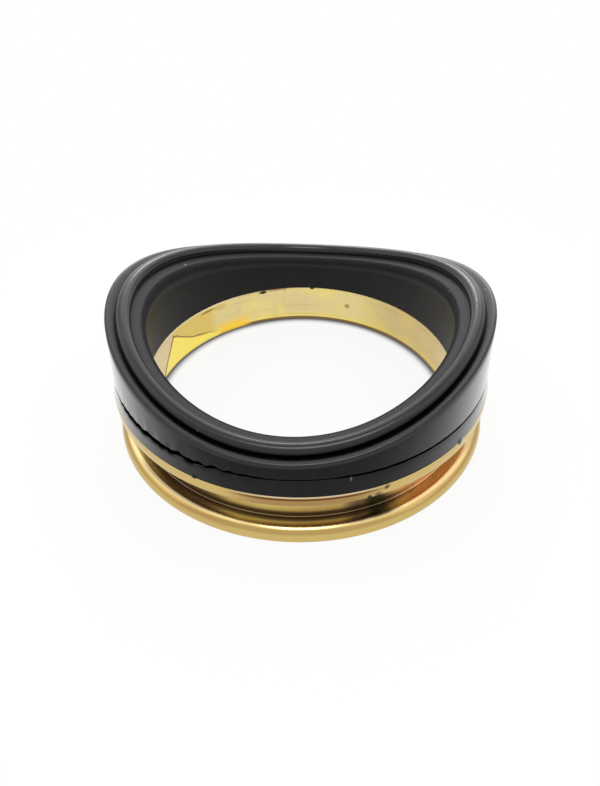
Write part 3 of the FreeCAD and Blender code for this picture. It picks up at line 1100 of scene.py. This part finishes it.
    def hang_flash(self, point: Vector) -> Vector:
        """Let the wall's lowest edge hang over the brass where there is flash.

        Args:
            point: a point of the flat-topped seal.

        Returns:
            Its new place, or the same one where there is no flash.
        """
        radius = math.hypot(point.x, point.y)
        if radius < self.skirt_r - SLACK or point.z > BRASS_TOP_Z + 2.0 * SLACK:
            return point
        angle = angle_of(point)
        hang = 0.0
        for flash in self.flashes:
            away = degrees_between(angle, flash.angle) * math.radians(radius)
            hang = max(hang, flash.hang * (1.0 - (2.0 * away / flash.width) ** 2))
        if hang <= 0.0:
            return point
        keep = (LAND_R + self.flash_thickness) / radius
        lowest = point.z < BRASS_TOP_Z + self.skirt_lift / 2.0
        height = point.z - hang if lowest else point.z + self.flash_lift
        return Vector((point.x * keep, point.y * keep, height))

    def land_bloom(self, radius: float, height: float) -> float:
        """Return how much grey bloom, which marks the lands, a point of the flat seal has."""
        if radius < BORE_R:
            return max(0.0, min(1.0, (height - self.land + self.bloom_reach) / self.bloom_fade))
        if height < self.land - 0.9:
            return 0.0
        if radius < self.bead_inner_r + SLACK:
            return 1.0
        return self.bead_bloom if radius < self.bead_outer_r - SLACK else self.outer_bloom

    def crease(self, radius: float, height: float) -> float:
        """Return how near a point of the flat seal is to the dark creases at the bead's feet.

        Args:
            radius: the point's distance from the port's axis.
            height: its height on the flat seal.

        Returns:
            1 in a crease, and 0 where no painted shade from it shows.
        """
        inner = math.hypot(radius - self.bead_inner_r, height - self.land)
        outer = math.hypot(radius - self.bead_outer_r, height - self.land + self.outer_drop)
        share = max(1.0 - inner / self.inner_crease, 1.0 - outer / self.outer_crease, 0.0)
        return min(1.0, share * self.crease_dark)

    def build(self) -> bpy.types.Object:
        """Build the seal and dress it."""
        shape = turn_section(self.corners(), self.spacing, self.steps)
        # The crease layer says where the finish paints shade at the bead's feet
        crease = shape.verts.layers.float.new("crease")
        land = shape.verts.layers.float.new("land")
        # The crack layer marks the seam's slit, which the finish paints black as shade
        crack = shape.verts.layers.float.new("crack")
        for point in shape.verts:
            flat = point.co.copy()
            radius = math.hypot(flat.x, flat.y)
            point[land] = self.land_bloom(radius, flat.z)
            point[crease] = self.crease(radius, flat.z)
            in_seam = abs(flat.z - self.seam.height) < self.seam.half_gap - self.hair
            point[crack] = 1.0 if in_seam and radius > self.bead_outer_r else 0.0
            point.co = self.lift(flat, self.hang_flash(self.tear_seam(flat)))
        return finish_piece(
            shape, "moulded_rubber_seal", "rubber_seal", self.finish.make(),
        )


# Studio


class LampRole(Enum):
    """What a lamp is there for."""

    OVERHEAD = "overhead_softbox"
    BACK = "back_softbox"
    LOW_BACK = "low_back_softbox"
    LEFT = "left_softbox"
    RIGHT = "right_softbox"


@dataclass(frozen=True)
class Softbox:
    """A square area lamp that looks at the object.

    Its azimuth and elevation are in degrees, its distance and size in metres and its power in
    watts. An azimuth of 0 is in front, on the camera's side, and 90 is at the right.
    """

    role: LampRole
    azimuth: float
    elevation: float
    distance: float
    size: float
    power: float


@dataclass
class Studio:
    """The floor, the lamps, the world and the camera.

    The camera's place is in millimetres, before it is turned by the azimuth about the port's axis.
    Its angles are in degrees, and the floor's radius and the near clip in metres.
    """

    elevation: float = 40.3
    azimuth: float = 5.7
    roll: float = -0.67
    place: tuple[float, float, float] = (-0.2392, -132.1838, 114.3920)
    focal_pixels: float = 665.0
    frame_height: float = 786.0
    sensor: float = 36.0
    near_clip: float = 0.005
    floor_radius: float = 2.5
    room_strength: float = 0.65
    lamps: tuple[Softbox, ...] = (
        Softbox(LampRole.OVERHEAD, 5.0, 76.0, 0.8, 0.30, 1.4),
        Softbox(LampRole.BACK, 180.0, 42.0, 1.0, 0.90, 2.8),
        Softbox(LampRole.LOW_BACK, 187.0, 29.0, 1.0, 0.20, 0.6),
        Softbox(LampRole.LEFT, 270.0, 45.0, 0.9, 0.90, 1.5),
        Softbox(LampRole.RIGHT, 90.0, 45.0, 0.9, 0.90, 1.3),
    )
    paper: StudioPaper = field(default_factory=StudioPaper)

    def build(self) -> None:
        """Set up everything around the object."""
        self._floor()
        for lamp in self.lamps:
            self._lamp(lamp)
        self._world()
        self._camera()
        bpy.context.scene.view_settings.view_transform = "Standard"

    def _floor(self) -> None:
        """Lay the paper that the ring stands on."""
        shape = bmesh.new()
        bmesh.ops.create_circle(shape, cap_ends=True, radius=self.floor_radius, segments=96)
        mesh = bpy.data.meshes.new("studio_floor")
        shape.to_mesh(mesh)
        shape.free()
        mesh.materials.append(self.paper.make())
        floor = bpy.data.objects.new("studio_floor", mesh)
        bpy.context.scene.collection.objects.link(floor)

    def _lamp(self, lamp: Softbox) -> None:
        """Hang one softbox, facing the object."""
        data = bpy.data.lights.new(lamp.role.value, "AREA")
        data.shape = "SQUARE"
        data.size = lamp.size
        data.energy = lamp.power
        light = bpy.data.objects.new(lamp.role.value, data)
        turn, rise = math.radians(lamp.azimuth), math.radians(lamp.elevation)
        away = Vector((
            math.sin(turn) * math.cos(rise), -math.cos(turn) * math.cos(rise), math.sin(rise),
        ))
        light.location = away * lamp.distance
        light.rotation_euler = away.to_track_quat("Z", "Y").to_euler()
        bpy.context.scene.collection.objects.link(light)

    def _world(self) -> None:
        """Light the room softly, and show white where the room itself is seen or mirrored."""
        world = bpy.data.worlds.new("studio_room")
        bpy.context.scene.world = world
        world.use_nodes = True
        tree = world.node_tree
        tree.nodes.clear()
        room = add_node(
            tree, "ShaderNodeBackground", {}, {"Color": WHITE, "Strength": self.room_strength},
        )
        white = add_node(tree, "ShaderNodeBackground", {}, {"Color": WHITE, "Strength": 1.0})
        both = add_node(
            tree, "ShaderNodeMixShader", {},
            {0: seen_or_mirrored(tree), 1: room.outputs[0], 2: white.outputs[0]},
        )
        add_node(tree, "ShaderNodeOutputWorld", {}, {0: both.outputs[0]})

    def _camera(self) -> None:
        """Stand the camera where the photographer's was."""
        data = bpy.data.cameras.new("camera")
        data.sensor_fit = "VERTICAL"
        data.sensor_height = self.sensor
        data.lens = self.focal_pixels / self.frame_height * self.sensor
        data.clip_start = self.near_clip
        camera = bpy.data.objects.new("camera", data)
        rise = math.radians(self.elevation)
        turn = math.radians(self.azimuth)
        lean = math.radians(self.roll)
        right = Vector((1.0, 0.0, 0.0))
        up = Vector((0.0, math.sin(rise), math.cos(rise)))
        back = Vector((0.0, -math.cos(rise), math.sin(rise)))
        tilted_right = right * math.cos(lean) + up * math.sin(lean)
        tilted_up = up * math.cos(lean) - right * math.sin(lean)
        axes = Matrix((tilted_right, tilted_up, back)).transposed().to_4x4()
        place = Matrix.Translation(Vector(self.place) * MM)
        camera.matrix_world = Matrix.Rotation(turn, 4, "Z") @ place @ axes
        bpy.context.scene.collection.objects.link(camera)
        bpy.context.scene.camera = camera


def main() -> None:
    """Build the port seal and its studio."""
    logging.basicConfig(level=logging.INFO, format="%(message)s")
    BrassRing().build()
    RubberSeal().build()
    Studio().build()
    bpy.context.view_layer.update()


if __name__ == "__main__":
    main()
